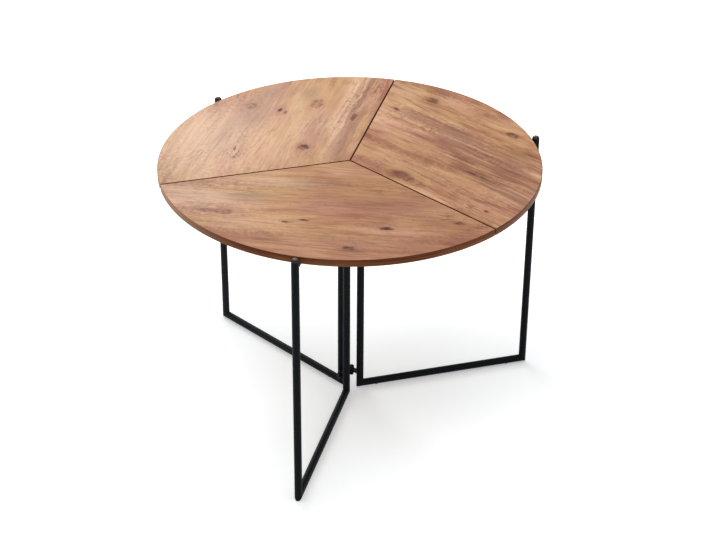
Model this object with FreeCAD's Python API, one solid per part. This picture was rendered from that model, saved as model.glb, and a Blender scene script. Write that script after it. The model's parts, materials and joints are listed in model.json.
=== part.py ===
"""Round folding table: three leaves on three hinged tube frames, in millimetres.

Each leaf is a third of the round top and turns on the axle bar of its own frame.
The front and right frames are hinged to the back frame near the middle of the table.
Local axes of a frame: X outward along its tube, Y anticlockwise, Z up.
"""

import FreeCAD
import Part
import math
import os

V = FreeCAD.Vector

# Round top
TABLE_R = 500.0
TOP_Z = 724.0
BOARD_T = 18.0
BAND_T = 1.5
BAND_ROUND = 1.0
SEAM_GAP = 3.0
RELIEF = 11.5
LIP = 2.0
HALF_ANGLE = 60.0

# Tube frames
TUBE_R = 10.0
TUBE_WALL = 1.5
LEG_R = 514.0
POST_R = 31.0
FOOT_Z = 12.0
AXLE_R = 6.0
POST_CLEAR = 0.5
LEG_TOP = 719.5
AZIMUTHS = {"back": 135.0, "front": 255.0, "right": 15.0}

# Domed plastic leg caps
CAP_TOP = 727.5
CAP_EDGE = 1.0
PLUG_R = 8.4
PLUG_L = 14.0

# Stud glides under the bottom rail
GLIDE_R = 4.5
GLIDE_EDGE = 0.5
GLIDE_HEAD = 5.0
GLIDE_STEM_R = 2.5
GLIDE_STEM_TOP = 8.0
GLIDE_HOLE_R = 2.6
GLIDE_INSET = 48.0

# Saddle straps and liners that hang a leaf on its axle
STRAP_X = (150.0, 400.0)
STRAP_W = 32.0
STRAP_T = 2.5
STRAP_SPAN = 36.0
STRAP_ROUND = 5.0
BEND_R = 2.75
LINER_T = 1.7
LINER_CLEAR = 0.3

# Quarter-turn stop: a peg on the axle in a slot of the inner strap
PEG_R = 2.5
PEG_REACH = 13.5
SLOT_W = 5.6

# Clamp screw of the outer strap
CLAMP_R = 3.0
CLAMP_CLEAR = 0.1
CLAMP_HOLE_R = 3.4
CLAMP_TIP = 0.5
NUT_AF = 10.0
NUT_T = 5.0
KNOB_AT = 37.5
KNOB_R = 9.3
KNOB_T = 13.0
KNOB_NECK_R = 6.0
KNOB_NECK_L = 5.0
KNOB_LOBES = 6
LOBE_CUT_R = 3.0
LOBE_CUT_AT = 11.0
KNOB_BORE_L = 9.0

# Seam strip that carries the next leaf's edge
STRIP_FROM = 125.0
STRIP_TO = 488.0
STRIP_IN = 20.0
STRIP_OUT = 14.0
STRIP_T = 2.5
STRIP_RELIEF = 0.4
STRIP_ROUND = 6.0
STRIP_SCREWS = 5
STRIP_SCREW_IN = 11.0
STRIP_SCREW_END = 20.0

# Pan-head wood screws
SCREW_R = 2.0
SCREW_HOLE_R = 2.1
SCREW_CLEAR_R = 2.5
SCREW_BITE = 11.0
HEAD_R = 4.2
HEAD_H = 2.6
STRAP_SCREW = (9.0, 27.0)

# Vertical frame hinges
HINGE_OFFSET = 23.0
HINGE_Z = (46.5, 600.0)
EAR_R = 7.0
FORK_T = 4.0
TONGUE_T = 5.0
WASHER_R = 6.0
WASHER_T = 4.0
PLAY = 0.1
BOLT_R = 3.0
BOLT_HOLE_R = 3.1
BOLT_HEAD_R = 5.5
BOLT_HEAD_H = 3.3
BOLT_SHOULDER = 0.8
BOLT_CROWN_R = 2.4
BOLT_TAIL = 2.0
BOLT_CHAMFER = 0.8
HINGE_NUT_AF = 10.0
HINGE_NUT_T = 6.0

# Derived places
BOARD_Z = TOP_Z - BOARD_T
AXLE_DROP = TUBE_R + POST_CLEAR
AXLE_Z = BOARD_Z - AXLE_DROP
LINER_R = AXLE_R + LINER_CLEAR
SADDLE_R = LINER_R + LINER_T
STRAP_R = SADDLE_R + STRAP_T
FLANGE_Z = BOARD_Z - STRAP_T
SIN_HALF = math.sin(math.radians(HALF_ANGLE))
COS_HALF = math.cos(math.radians(HALF_ANGLE))
HINGE_R = HINGE_OFFSET / SIN_HALF
BIG = 3.0 * TABLE_R
Z_AXIS = V(0, 0, 1)


def turned(shape, azimuth):
    """Copy of a shape turned about the table's axis."""
    copy = shape.copy()
    copy.rotate(V(0, 0, 0), Z_AXIS, azimuth)
    return copy


def half_space(point, normal):
    """Large block that fills the side of a plane its normal points to."""
    block = Part.makeBox(2 * BIG, 2 * BIG, BIG, V(-BIG, -BIG, 0))
    block.Placement = FreeCAD.Placement(point, FreeCAD.Rotation(Z_AXIS, normal))
    return block


def prism(wire_edges, push):
    """Solid swept straight from a closed flat outline."""
    return Part.Face(Part.Wire(wire_edges)).extrude(push)


def line(a, b):
    """Straight edge between two points."""
    return Part.makeLine(a, b)


def arc(a, mid, b):
    """Circular edge through three points."""
    return Part.Arc(a, mid, b).toShape()


def lathe(outline):
    """Solid turned about Z from an outline of (radius, height) points, closed on the axis."""
    points = [V(r, 0, z) for r, z in outline]
    points.append(points[0])
    return Part.Face(Part.makePolygon(points)).revolve(V(0, 0, 0), Z_AXIS, 360)


def hexagon(across_flats, height, hole_r):
    """Hexagon nut that stands on the XY plane."""
    corner = across_flats / math.sqrt(3.0)
    ring = [V(corner, 0, 0)]
    for step in range(1, 7):
        angle = math.radians(60.0 * step)
        ring.append(V(corner * math.cos(angle), corner * math.sin(angle), 0))
    body = Part.Face(Part.makePolygon(ring)).extrude(V(0, 0, height))
    return body.cut(Part.makeCylinder(hole_r, height))


def upright_edges(shape, keep):
    """Vertical straight edges of a plate whose middle point passes a test."""
    found = []
    for edge in shape.Edges:
        a = edge.Vertexes[0].Point
        b = edge.Vertexes[-1].Point
        if math.hypot(a.x - b.x, a.y - b.y) < 1e-6 and abs(a.z - b.z) > 1e-6 and keep(a):
            found.append(edge)
    return found


def tube(start, direction, length):
    """Hollow round tube."""
    outer = Part.makeCylinder(TUBE_R, length, start, direction)
    inner = Part.makeCylinder(TUBE_R - TUBE_WALL, length, start, direction)
    return outer.cut(inner)


def mitred(shape, corner, normals):
    """Tube with its ends cut away on the given sides of its corner points."""
    for point, normal in zip(corner, normals):
        shape = shape.cut(half_space(point, normal))
    return shape


def axle_bar():
    """Round bar from the inner post to the leg, coped to the leg."""
    inner_end = POST_R - TUBE_R
    bar = Part.makeCylinder(AXLE_R, LEG_R - inner_end, V(inner_end, 0, AXLE_Z), V(1, 0, 0))
    return bar.cut(Part.makeCylinder(TUBE_R, TOP_Z, V(LEG_R, 0, 0)))


def glide_places():
    """Distances of the two glides along the bottom rail."""
    return (POST_R + GLIDE_INSET, LEG_R - GLIDE_INSET)


def frame_tubes():
    """Outer leg, inner post, bottom rail and axle bar of one frame, in frame axes."""
    low_in = V(POST_R, 0, FOOT_Z)
    low_out = V(LEG_R, 0, FOOT_Z)
    spare = 2 * TUBE_R
    width = LEG_R - POST_R
    post = tube(V(POST_R, 0, FOOT_Z - spare), Z_AXIS, AXLE_Z - FOOT_Z + spare)
    post = mitred(post, (low_in,), (V(1, 0, -1),))
    post = post.cut(Part.makeCylinder(AXLE_R, LEG_R, V(0, 0, AXLE_Z), V(1, 0, 0)))
    leg = tube(V(LEG_R, 0, FOOT_Z - spare), Z_AXIS, LEG_TOP - FOOT_Z + spare)
    leg = mitred(leg, (low_out,), (V(-1, 0, -1),))
    bottom = tube(V(POST_R - spare, 0, FOOT_Z), V(1, 0, 0), width + 2 * spare)
    bottom = mitred(bottom, (low_in, low_out), (V(-1, 0, 1), V(1, 0, 1)))
    for x in glide_places():
        bottom = bottom.cut(Part.makeCylinder(GLIDE_HOLE_R, FOOT_Z, V(x, 0, 0)))
    return {"outer_leg": leg, "inner_post": post, "bottom_rail": bottom, "axle_bar": axle_bar()}


def leg_cap():
    """Domed cap with a plug that sits in the leg."""
    edge_z = LEG_TOP + CAP_EDGE
    rise = CAP_TOP - edge_z
    dome_r = (TUBE_R ** 2 + rise ** 2) / (2 * rise)
    half_way = math.asin(TUBE_R / dome_r) / 2
    rim = V(TUBE_R, 0, edge_z)
    crown = V(0, 0, CAP_TOP)
    bend = V(dome_r * math.sin(half_way), 0, CAP_TOP - dome_r + dome_r * math.cos(half_way))
    foot = LEG_TOP - PLUG_L
    edges = [
        line(V(0, 0, foot), V(PLUG_R, 0, foot)),
        line(V(PLUG_R, 0, foot), V(PLUG_R, 0, LEG_TOP)),
        line(V(PLUG_R, 0, LEG_TOP), V(TUBE_R, 0, LEG_TOP)),
        line(V(TUBE_R, 0, LEG_TOP), rim),
        arc(rim, bend, crown),
        line(crown, V(0, 0, foot)),
    ]
    cap = Part.Face(Part.Wire(edges)).revolve(V(0, 0, 0), Z_AXIS, 360)
    cap.translate(V(LEG_R, 0, 0))
    return cap


def glides():
    """Two studs that keep the bottom rail off the floor, their stems pushed into the rail."""
    studs = []
    rail = Part.makeCylinder(TUBE_R, LEG_R, V(0, 0, FOOT_Z), V(1, 0, 0))
    outline = [
        (0.0, 0.0),
        (GLIDE_R - GLIDE_EDGE, 0.0),
        (GLIDE_R, GLIDE_EDGE),
        (GLIDE_R, GLIDE_HEAD),
        (0.0, GLIDE_HEAD),
    ]
    for x in glide_places():
        head = lathe(outline)
        head.translate(V(x, 0, 0))
        stem = Part.makeCylinder(GLIDE_STEM_R, GLIDE_STEM_TOP - GLIDE_EDGE, V(x, 0, GLIDE_EDGE))
        studs.append(head.cut(rail).fuse(stem).removeSplitter())
    return Part.makeCompound(studs)


def stop_peg():
    """Peg welded under the axle, in the slot of the inner strap."""
    peg = Part.makeCylinder(PEG_R, PEG_REACH, V(STRAP_X[0], 0, AXLE_Z), V(0, 0, -1))
    return peg.cut(Part.makeCylinder(AXLE_R, LEG_R, V(0, 0, AXLE_Z), V(1, 0, 0)))


def seam_normal(side):
    """Outward direction of a leaf's straight edge: +1 anticlockwise edge, -1 clockwise edge."""
    return V(-SIN_HALF, side * COS_HALF, 0)


def leaf_blank(relieved):
    """Whole leaf; a relieved leaf is undercut along its anticlockwise edge."""
    leaf = Part.makeCylinder(TABLE_R, BOARD_T, V(0, 0, BOARD_Z))
    for side in (1, -1):
        normal = seam_normal(side)
        leaf = leaf.cut(half_space(normal * (-SEAM_GAP / 2), normal))
    if relieved:
        normal = seam_normal(1)
        start = normal * (-SEAM_GAP / 2) + V(0, 0, TOP_Z - LIP)
        slope = normal * (BOARD_T - LIP) + V(0, 0, -RELIEF)
        leaf = leaf.cut(half_space(start, slope))
    return leaf


def saddle_outline():
    """Edges of the bent strap: two flanges and a round saddle, in the YZ plane."""
    high = AXLE_DROP
    low = AXLE_DROP - STRAP_T
    turn_y = STRAP_R + BEND_R
    turn_z = low - BEND_R
    diagonal = math.sin(math.radians(45.0))

    def at(y, z):
        return V(0, y, AXLE_Z + z)

    def bend(side, radius):
        return at(side * (turn_y - radius * diagonal), turn_z + radius * diagonal)

    def flank(side):
        inner = [
            line(at(side * STRAP_SPAN, high), at(side * turn_y, high)),
            arc(at(side * turn_y, high), bend(side, BEND_R + STRAP_T), at(side * SADDLE_R, turn_z)),
            line(at(side * SADDLE_R, turn_z), at(side * SADDLE_R, 0)),
        ]
        outer = [
            line(at(side * STRAP_R, 0), at(side * STRAP_R, turn_z)),
            arc(at(side * STRAP_R, turn_z), bend(side, BEND_R), at(side * turn_y, low)),
            line(at(side * turn_y, low), at(side * STRAP_SPAN, low)),
            line(at(side * STRAP_SPAN, low), at(side * STRAP_SPAN, high)),
        ]
        return inner + outer

    saddles = []
    for radius in (SADDLE_R, STRAP_R):
        saddles.append(arc(at(radius, 0), at(0, -radius), at(-radius, 0)))
    return Part.__sortEdges__(flank(1) + flank(-1) + saddles)


def slot_cutter():
    """Opening of the stop slot: the room the peg sweeps from straight down to the clockwise side."""
    reach = 2 * STRAP_R
    centre = V(STRAP_X[0], 0, AXLE_Z)
    wedge = Part.makeCylinder(reach, SLOT_W, V(0, 0, 0), V(1, 0, 0))
    quarter = Part.makeBox(SLOT_W, reach, reach, V(0, -reach, -reach))
    wedge = wedge.common(quarter)
    wedge.translate(centre - V(SLOT_W / 2, 0, 0))
    for heading in (V(0, 0, -1), V(0, -1, 0)):
        wedge = wedge.fuse(Part.makeCylinder(SLOT_W / 2, reach, centre, heading))
    return wedge


def clamp_cutter():
    """Hole for the clamp screw through the outer strap and its liner."""
    return Part.makeCylinder(CLAMP_HOLE_R, 2 * STRAP_R, V(STRAP_X[1], 0, AXLE_Z), V(0, -1, 0))


def opened(pair):
    """Inner piece with its stop slot and outer piece with its clamp hole."""
    return [pair[0].cut(slot_cutter()), pair[1].cut(clamp_cutter())]


def strap_screw_places():
    """Points on the board's underside for the strap screws."""
    places = []
    for x in STRAP_X:
        for along in (-STRAP_SCREW[0], STRAP_SCREW[0]):
            for across in (-STRAP_SCREW[1], STRAP_SCREW[1]):
                places.append(V(x + along, across, BOARD_Z))
    return places


def straps():
    """The two bent steel straps of one leaf."""
    pair = []
    for x in STRAP_X:
        strap = prism(saddle_outline(), V(STRAP_W, 0, 0))
        strap = strap.makeFillet(STRAP_ROUND, upright_edges(strap, lambda p: abs(p.y) > STRAP_SPAN - 1))
        strap.translate(V(x - STRAP_W / 2, 0, 0))
        pair.append(strap)
    for place in strap_screw_places():
        hole = Part.makeCylinder(SCREW_CLEAR_R, 2 * STRAP_T, place - V(0, 0, 2 * STRAP_T))
        pair = [strap.cut(hole) for strap in pair]
    return Part.makeCompound(opened(pair))


def liners():
    """The two nylon liners between the straps and the axle."""
    top = AXLE_DROP - STRAP_T - BEND_R
    pair = []
    for x in STRAP_X:
        start = V(x - STRAP_W / 2, 0, AXLE_Z)
        round_part = Part.makeCylinder(SADDLE_R, STRAP_W, start, V(1, 0, 0))
        below = Part.makeBox(STRAP_W, 2 * SADDLE_R, SADDLE_R, start - V(0, SADDLE_R, SADDLE_R))
        cheeks = Part.makeBox(STRAP_W, 2 * SADDLE_R, top, start - V(0, SADDLE_R, 0))
        liner = round_part.common(below).fuse(cheeks).removeSplitter()
        pair.append(liner.cut(Part.makeCylinder(LINER_R, STRAP_W, start, V(1, 0, 0))))
    return Part.makeCompound(opened(pair))


def strip_placement():
    """Place of the seam strip: X outward along the clockwise edge, Y into its own leaf."""
    return FreeCAD.Placement(V(0, 0, BOARD_Z - STRIP_T), FreeCAD.Rotation(Z_AXIS, -HALF_ANGLE))


def strip_screw_marks():
    """Distances of the strip's screws along the seam."""
    first = STRIP_FROM + STRIP_SCREW_END
    pitch = (STRIP_TO - STRIP_FROM - 2 * STRIP_SCREW_END) / (STRIP_SCREWS - 1)
    return [first + pitch * step for step in range(STRIP_SCREWS)]


def strip_screw_places():
    """Points on the board's underside for the strip screws."""
    place = strip_placement()
    return [place.multVec(V(rho, STRIP_SCREW_IN, STRIP_T)) for rho in strip_screw_marks()]


def seam_strip():
    """Steel strip under the clockwise edge that reaches below the next leaf."""
    length = STRIP_TO - STRIP_FROM
    strip = Part.makeBox(length, STRIP_IN + STRIP_OUT, STRIP_T, V(STRIP_FROM, -STRIP_OUT, 0))
    strip = strip.makeFillet(STRIP_ROUND, upright_edges(strip, lambda p: True))
    step = V(STRIP_FROM - length, -2 * STRIP_OUT, STRIP_T - STRIP_RELIEF)
    strip = strip.cut(Part.makeBox(3 * length, 2 * STRIP_OUT, STRIP_T, step))
    for rho in strip_screw_marks():
        strip = strip.cut(Part.makeCylinder(SCREW_CLEAR_R, STRIP_T, V(rho, STRIP_SCREW_IN, 0)))
    strip.Placement = strip_placement()
    return strip


def wood_screw(place, grip):
    """Pan-head screw driven up into the board through metal of the given thickness."""
    seat = -grip
    crown = seat - HEAD_H
    shoulder = crown + HEAD_H / 3.0
    outline = [
        (0.0, SCREW_BITE),
        (SCREW_R / 2, SCREW_BITE - SCREW_R),
        (SCREW_R, SCREW_BITE - 2 * SCREW_R),
        (SCREW_R, seat),
        (HEAD_R, seat),
        (HEAD_R, shoulder),
        (HEAD_R - HEAD_H / 3.0, crown),
        (0.0, crown),
    ]
    screw = lathe(outline)
    screw.translate(place)
    return screw


def leaf_screws():
    """All wood screws of one leaf."""
    screws = [wood_screw(place, STRAP_T) for place in strap_screw_places()]
    screws += [wood_screw(place, STRIP_T) for place in strip_screw_places()]
    return Part.makeCompound(screws)


def sideways(shape, start):
    """Move a piece that stands along Z to the clamp axis, pointing clockwise from the axle."""
    shape.rotate(V(0, 0, 0), V(1, 0, 0), 90)
    shape.translate(V(STRAP_X[1], -start, AXLE_Z))
    return shape


def clamp_nut():
    """Hexagon nut welded to the outer strap for the clamp screw."""
    return sideways(hexagon(NUT_AF, NUT_T, CLAMP_R + CLAMP_CLEAR), STRAP_R)


def clamp_knob():
    """Lobed hand knob of the clamp screw."""
    soft = (KNOB_R - KNOB_NECK_R) / 2
    outline = [
        (0.0, 0.0),
        (KNOB_NECK_R, 0.0),
        (KNOB_NECK_R, KNOB_NECK_L),
        (KNOB_R, KNOB_NECK_L),
        (KNOB_R, KNOB_NECK_L + KNOB_T - soft),
        (KNOB_R - soft, KNOB_NECK_L + KNOB_T),
        (0.0, KNOB_NECK_L + KNOB_T),
    ]
    knob = lathe(outline)
    for lobe in range(KNOB_LOBES):
        angle = math.radians(360.0 * lobe / KNOB_LOBES)
        place = V(LOBE_CUT_AT * math.cos(angle), LOBE_CUT_AT * math.sin(angle), KNOB_NECK_L)
        knob = knob.cut(Part.makeCylinder(LOBE_CUT_R, KNOB_T, place))
    knob = knob.cut(Part.makeCylinder(CLAMP_R, KNOB_BORE_L))
    return sideways(knob, KNOB_AT)


def clamp_screw():
    """Threaded stud of the knob, stated as its outside cylinder."""
    start = AXLE_R + CLAMP_TIP
    end = KNOB_AT + KNOB_BORE_L
    return sideways(Part.makeCylinder(CLAMP_R, end - start), start)


def edge_band(blank, core):
    """Rim band of a leaf, rounded along its upper outer edge."""
    band = blank.cut(core)
    arris = []
    for edge in band.Edges:
        ends = [vertex.Point for vertex in edge.Vertexes]
        if all(abs(p.z - TOP_Z) < 1e-6 and abs(math.hypot(p.x, p.y) - TABLE_R) < 1e-6 for p in ends):
            arris.append(edge)
    return band.makeFillet(BAND_ROUND, arris)


def leaf_nodes(relieved):
    """Every piece of one leaf, in frame axes."""
    blank = leaf_blank(relieved)
    core = Part.makeCylinder(TABLE_R - BAND_T, BOARD_T, V(0, 0, BOARD_Z))
    board = blank.common(core)
    for place in strap_screw_places() + strip_screw_places():
        board = board.cut(Part.makeCylinder(SCREW_HOLE_R, SCREW_BITE + SCREW_R, place))
    return {
        "leaf_board": board,
        "leaf_edge_band": edge_band(blank, core),
        "leaf_straps": straps(),
        "leaf_liners": liners(),
        "leaf_seam_strip": seam_strip(),
        "leaf_screws": leaf_screws(),
        "clamp_nut": clamp_nut(),
        "clamp_knob": clamp_knob(),
        "clamp_screw": clamp_screw(),
    }


def hinge_point(side):
    """Hinge axis in frame axes, on the anticlockwise (+1) or clockwise (-1) seam line."""
    return V(HINGE_R * COS_HALF, side * HINGE_R * SIN_HALF, 0)


def ear(side, z, thickness):
    """Flat ear with a round end, from the side of the post to the hinge axis, drilled for the bolt."""
    post = V(POST_R, 0, z)
    pin = hinge_point(side) + V(0, 0, z)
    along = pin - post
    arm = Part.makeBox(along.Length, 2 * EAR_R, thickness, V(0, -EAR_R, 0))
    arm = arm.fuse(Part.makeCylinder(EAR_R, thickness, V(along.Length, 0, 0))).removeSplitter()
    arm.Placement = FreeCAD.Placement(post, FreeCAD.Rotation(V(1, 0, 0), along))
    arm = arm.cut(Part.makeCylinder(TUBE_R, TOP_Z, V(POST_R, 0, 0)))
    return arm.cut(Part.makeCylinder(BOLT_HOLE_R, TOP_Z, hinge_point(side)))


def fork_levels(z):
    """Lower faces of the two fork plates of the hinge at height z."""
    half = TONGUE_T / 2 + PLAY + WASHER_T
    return (z - half - FORK_T, z + half)


def hinge_forks():
    """Pairs of fork plates on both sides of the back post."""
    plates = []
    for z in HINGE_Z:
        for level in fork_levels(z):
            for side in (1, -1):
                plates.append(ear(side, level, FORK_T))
    return Part.makeCompound(plates)


def hinge_tongues(side):
    """Tongue plates of a folding frame."""
    return Part.makeCompound([ear(side, z - TONGUE_T / 2, TONGUE_T) for z in HINGE_Z])


def at_hinges(maker):
    """Copies of a hinge piece on both hinge axes of the back frame at both heights."""
    pieces = []
    for side in (1, -1):
        for z in HINGE_Z:
            for piece in maker(z):
                piece.translate(hinge_point(side))
                pieces.append(piece)
    return Part.makeCompound(pieces)


def hinge_bolt(z):
    """Dome-headed bolt down through a fork and its tongue."""
    low, high = fork_levels(z)
    seat = high + FORK_T
    tail = low - HINGE_NUT_T - BOLT_TAIL
    outline = [
        (0.0, tail),
        (BOLT_R - BOLT_CHAMFER, tail),
        (BOLT_R, tail + BOLT_CHAMFER),
        (BOLT_R, seat),
        (BOLT_HEAD_R, seat),
        (BOLT_HEAD_R, seat + BOLT_SHOULDER),
        (BOLT_HEAD_R - BOLT_SHOULDER, seat + BOLT_HEAD_H - BOLT_SHOULDER),
        (BOLT_CROWN_R, seat + BOLT_HEAD_H),
        (0.0, seat + BOLT_HEAD_H),
    ]
    return [lathe(outline)]


def hinge_nut(z):
    """Lock nut under the lower fork plate."""
    nut = hexagon(HINGE_NUT_AF, HINGE_NUT_T, BOLT_R)
    nut.translate(V(0, 0, fork_levels(z)[0] - HINGE_NUT_T))
    return [nut]


def hinge_washer(z):
    """Washers above and below the tongue."""
    low, high = fork_levels(z)
    rings = []
    for level in (low + FORK_T, high - WASHER_T):
        ring = Part.makeCylinder(WASHER_R, WASHER_T, V(0, 0, level))
        rings.append(ring.cut(Part.makeCylinder(BOLT_HOLE_R, WASHER_T, V(0, 0, level))))
    return rings


def assembly():
    """Every node of the table in its own place, by name."""
    nodes = {}
    frame = frame_tubes()
    frame["leg_cap"] = leg_cap()
    frame["glides"] = glides()
    frame["stop_peg"] = stop_peg()
    square = leaf_nodes(False)
    relieved = leaf_nodes(True)
    for name, azimuth in AZIMUTHS.items():
        leaf = square if name == "front" else relieved
        for piece, shape in list(frame.items()) + list(leaf.items()):
            nodes[name + "_" + piece] = turned(shape, azimuth)
    nodes["front_hinge_tongues"] = turned(hinge_tongues(-1), AZIMUTHS["front"])
    nodes["right_hinge_tongues"] = turned(hinge_tongues(1), AZIMUTHS["right"])
    nodes["back_hinge_forks"] = turned(hinge_forks(), AZIMUTHS["back"])
    nodes["hinge_bolts"] = turned(at_hinges(hinge_bolt), AZIMUTHS["back"])
    nodes["hinge_nuts"] = turned(at_hinges(hinge_nut), AZIMUTHS["back"])
    nodes["hinge_washers"] = turned(at_hinges(hinge_washer), AZIMUTHS["back"])
    return nodes


os.makedirs("parts", exist_ok=True)
for node, shape in assembly().items():
    shape.exportStep("parts/" + node + ".step")
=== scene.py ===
import json
import logging
import math
from dataclasses import dataclass, field
from enum import Enum

import bpy
import numpy as np
from mathutils import Matrix, Vector


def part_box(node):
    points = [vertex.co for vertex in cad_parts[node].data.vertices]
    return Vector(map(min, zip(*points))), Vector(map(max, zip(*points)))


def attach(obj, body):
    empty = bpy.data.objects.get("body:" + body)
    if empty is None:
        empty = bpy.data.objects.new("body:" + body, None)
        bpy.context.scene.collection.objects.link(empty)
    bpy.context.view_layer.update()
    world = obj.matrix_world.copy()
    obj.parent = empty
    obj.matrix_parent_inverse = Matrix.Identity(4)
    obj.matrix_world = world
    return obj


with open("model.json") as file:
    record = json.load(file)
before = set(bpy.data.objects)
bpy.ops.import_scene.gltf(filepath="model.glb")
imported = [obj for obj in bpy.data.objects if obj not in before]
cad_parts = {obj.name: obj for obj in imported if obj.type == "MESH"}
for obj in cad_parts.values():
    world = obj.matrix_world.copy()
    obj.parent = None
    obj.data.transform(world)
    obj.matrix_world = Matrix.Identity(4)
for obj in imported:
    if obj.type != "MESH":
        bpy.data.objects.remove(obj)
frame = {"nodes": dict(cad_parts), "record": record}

# Lengths are in metres and angles in degrees, apart from the marks of the print, which are in millimetres.
LOG = logging.getLogger("folding_table")
MM = 0.001
HALF_LEAF = 60.0
BEAD_SIDES = 8
Socket = bpy.types.NodeSocket
Colour = tuple[float, float, float]
Number = float | Socket
Span = tuple[float, float]
Point = tuple[float, float, float]
Owner = bpy.types.Material | bpy.types.World


class Side(Enum):
    """The three sides of the table, each with one frame and one leaf."""

    BACK = "back"
    FRONT = "front"
    RIGHT = "right"

    def node(self, piece: str) -> str:
        """Name of this side's CAD node."""
        return f"{self.value}_{piece}"

    def leg(self) -> Vector:
        """Middle of this side's outer leg."""
        low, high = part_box(self.node("outer_leg"))
        return (low + high) / 2

    def azimuth(self) -> float:
        """Direction of this side's frame from the middle of the table, in radians."""
        leg = self.leg()
        return math.atan2(leg.y, leg.x)


class Slot(Enum):
    """Material slots of the record."""

    PINE = "pine_decor"
    BAND = "edge_band"
    COAT = "powder_coat"
    PLASTIC = "black_plastic"
    GLIDE = "glide_plastic"
    STRAP = "strap_steel"
    NYLON = "nylon"
    ZINC = "zinc"


class Tint(Enum):
    """Tints of the stains in the print."""

    BROWN = (0.254, 0.121, 0.086)
    GREY = (0.318, 0.220, 0.147)
    PALE = (0.649, 0.400, 0.250)
    RED = (0.269, 0.115, 0.076)
    # Pale tint, for pale streaks of the print and for patches of painted sheen.
    WASHED_AND_SHEEN = (0.790, 0.560, 0.405)
    DUSK = (0.347, 0.172, 0.111)
    PLUM = (0.415, 0.254, 0.196)
    HONEY = (0.600, 0.345, 0.180)
    UMBER = (0.185, 0.076, 0.050)


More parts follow.
